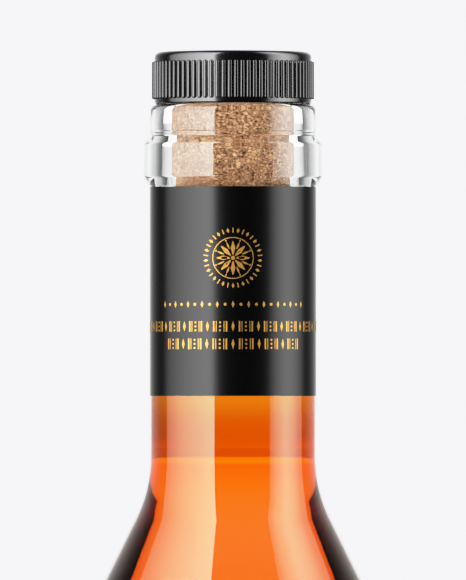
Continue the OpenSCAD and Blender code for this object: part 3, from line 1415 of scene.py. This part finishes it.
@dataclass
class Studio:
    """Plain soft studio light, a pale floor and the camera."""

    backdrop: Colour = (1.72, 1.72, 1.93, 1.0)
    floor_colour: str = "e9e9ea"
    floor_r: float = 3.0
    fade_from: float = 0.25
    fade_to: float = 1.6
    response: tuple[Point, ...] = (
        (0.0, 0.0), (4.0, 1.0), (0.5, 0.5), (0.7, 0.68), (0.9, 0.80), (1.2, 0.86), (1.7, 0.92), (2.5, 0.97)
    )
    lens: float = 828.0
    distance: float = 2.3745
    eye_drop: float = 0.0620
    aim_drop: float = 0.0424
    behind: LightField = LightField(
        azimuths=(
            (112, 0.0), (120, 0.06), (131, 0.2), (137, 0.37), (144, 0.55), (151, 0.74),
            (156, 0.95), (160, 1.3), (166, 2.2), (172, 1.6), (180, 1.3),
        ),
        elevations=((-90, 0.3), (-40, 0.5), (-15, 1.0), (20, 1.0), (58, 0.9), (68, 0.0)),
        mirrored=True,
    )
    left_box: LightField = LightField(
        azimuths=(
            (-105.8, 0.0), (-105.4, 1.6), (-99, 2.3), (-90, 3.4), (-76, 5.5), (-55, 8.0), (-29, 10.6),
            (-25.8, 10.6), (-25.4, 0.0),
        ),
        elevations=BOX_RISE,
    )
    right_box: LightField = LightField(
        azimuths=(
            (52.4, 0.0), (52.8, 1.9), (55, 2.2), (63, 4.7), (76, 7.0), (80, 7.0),
            (91, 5.4), (104, 2.3), (111.4, 1.5), (111.8, 0.0),
        ),
        elevations=BOX_RISE,
    )
    fill: LightField = LightField(
        azimuths=((-180, 0.006), (180, 0.006)), elevations=((-90, 1.0), (60, 1.0), (90, 4.0))
    )
    # What is seen straight through glass and liquid: the backdrop, its dark edges and the lit table
    through_ring: LightField = LightField(
        azimuths=(
            (0, 1.2), (30, 1.2), (70, 1.0), (100, 0.9), (108, 0.55), (114, 0.12), (120, 0.07), (131, 0.22),
            (137, 0.36), (144, 0.48), (151, 0.7), (160, 1.05), (165, 1.13), (180, 1.13),
        ),
        elevations=((-90, 0.3), (-20, 0.6), (-6, 1.0), (8, 1.0), (22, 0.4), (90, 0.4)),
        mirrored=True,
    )
    through_table: LightField = LightField(
        azimuths=ALL_ROUND,
        elevations=(
            (-5, 2.5), (-1.5, 2.1), (-0.5, 1.7), (-0.3, 1.4), (-0.24, 0.9), (-0.19, 0.2), (-0.155, 0.0),
        ),
    )
    # Light that the left soft box throws on the cork, through the glass
    through_left: LightField = LightField(
        azimuths=((-110, 0.0), (-95, 1.6), (-40, 1.6), (-20, 0.0)),
        elevations=BOX_RISE,
    )
    # The bright upper part of the backdrop, which the shoulder's wall shows
    through_above: LightField = LightField(
        azimuths=ALL_ROUND, elevations=((4, 0.0), (14, 0.6), (90, 0.6))
    )

    def light(self) -> None:
        """Makes the surroundings: a plain backdrop, two tall soft boxes and a soft overhead."""
        world = bpy.data.worlds.new("studio_surroundings")
        bpy.context.scene.world = world
        world.use_nodes = True
        tree = world.node_tree
        way = add_node(tree, "TexCoord").outputs["Generated"]
        parts = add_node(tree, "SeparateXYZ", {"Vector": way}).outputs
        front = add_node(tree, "Math", {0: parts["Y"], 1: -1.0}, operation="MULTIPLY").outputs[0]
        azimuth = add_node(tree, "Math", {0: parts["X"], 1: front}, operation="ARCTAN2").outputs[0]
        elevation = add_node(tree, "Math", {0: parts["Z"]}, operation="ARCSINE").outputs[0]
        mirrored = (self.behind, self.left_box, self.right_box, self.fill)
        through = (self.through_ring, self.through_table, self.through_left, self.through_above)
        sums = []
        for fields in (mirrored, through):
            total = fields[0].add(tree, azimuth, elevation)
            for light in fields[1:]:
                value = light.add(tree, azimuth, elevation)
                total = add_node(tree, "Math", {0: total, 1: value}, operation="ADD").outputs[0]
            sums.append(total)
        path = add_node(tree, "LightPath").outputs
        # Light that only passed through, or passed deep into the filling, meets the second set of fields
        clear = path["Is Transmission Ray"]
        straight = add_node(tree, "Math", {0: path["Glossy Depth"], 1: 0.5}, operation="LESS_THAN").outputs[0]
        deep = add_node(
            tree, "Math", {0: path["Transmission Depth"], 1: 2.5}, operation="GREATER_THAN"
        ).outputs[0]
        passed = add_node(tree, "Math", {0: straight, 1: deep}, operation="MAXIMUM").outputs[0]
        clear = add_node(tree, "Math", {0: clear, 1: passed}, operation="MULTIPLY").outputs[0]
        lit = add_node(tree, "Mix", {0: clear, 2: sums[0], 3: sums[1]}, data_type="FLOAT").outputs[0]
        final = add_node(
            tree, "Mix", {0: path["Is Camera Ray"], 6: lit, 7: self.backdrop}, data_type="RGBA"
        ).outputs[2]
        tree.links.new(final, tree.nodes["Background"].inputs["Color"])

    def floor(self) -> None:
        """Lays the pale floor, which fades into the backdrop."""
        bpy.ops.object.select_all(action="DESELECT")
        bpy.ops.mesh.primitive_circle_add(vertices=96, radius=self.floor_r, fill_type="NGON")
        floor = named("studio_floor")
        with editing(floor, whole=True):
            bpy.ops.mesh.inset(thickness=self.floor_r * 0.4, depth=0)
        blank = Blank("matt_pale_floor")
        away = blank.add("VectorMath", {0: blank.place}, operation="LENGTH").outputs["Value"]
        span = {"From Min": self.fade_from, "From Max": self.fade_to, "To Min": 1.0, "To Max": 0.0}
        fade = blank.add("MapRange", {"Value": away, **span}).outputs["Result"]
        finish = {
            "Base Color": linear(self.floor_colour),
            "Roughness": 0.9,
            "Specular IOR Level": 0.0,
            "Emission Color": self.backdrop,
            "Emission Strength": 0.3,
            "Alpha": fade,
        }
        dress(floor, blank.shade(finish))
        floor.visible_transmission = False
        floor.visible_glossy = False
        floor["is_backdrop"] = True

    def camera(self) -> None:
        """Sets the camera in front of the bottle, a little under the stopper's height."""
        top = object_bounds()[1].z
        data = bpy.data.cameras.new("studio_camera")
        data.lens = self.lens
        data.clip_start, data.clip_end = 0.1, 30.0
        camera = bpy.data.objects.new("studio_camera", data)
        bpy.context.scene.collection.objects.link(camera)
        eye = Vector((0, -self.distance, top - self.eye_drop))
        aim = Vector((0, 0, top - self.aim_drop))
        camera.location = eye
        camera.rotation_mode = "QUATERNION"
        camera.rotation_quaternion = (aim - eye).to_track_quat("-Z", "Y")
        bpy.context.scene.camera = camera

    def build(self) -> None:
        """Sets up light, floor and camera."""
        self.light()
        self.floor()
        self.camera()
        self.develop()

    def develop(self) -> None:
        """Sets a film-like response: straight in the darks and middles, with a soft shoulder."""
        look = bpy.context.scene.view_settings
        look.view_transform = "Standard"
        look.use_curve_mapping = True
        mapping = look.curve_mapping
        white = 4.0
        mapping.white_level = (white, white, white)
        curve = mapping.curves[3]
        for i, (scene, shown) in enumerate(self.response):
            if i < 2:
                curve.points[i].location = (scene / white, shown)
            else:
                curve.points.new(scene / white, shown)
        for point in curve.points:
            point.handle_type = "VECTOR" if point.location[0] * white <= 0.5 else "AUTO_CLAMPED"
        mapping.update()


def main() -> None:
    """Builds the bottle, its labels and its stopper round the frame."""
    logging.basicConfig(level=logging.INFO, format="%(name)s: %(message)s")
    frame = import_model()
    Studio().build()
    bottle = Bottle()
    bottle.build()
    bottle.dress()
    labels = Labels()
    labels.build()
    stopper = Stopper()
    stopper.build()
    stopper.dress(frame["nodes"])
    for piece in (bottle.glass, bottle.spirit, *labels.papers, *labels.foils, stopper.head, stopper.cork):
        LOG.info("%s has %d faces", piece.name, len(piece.data.polygons))


if __name__ == "__main__":
    main()
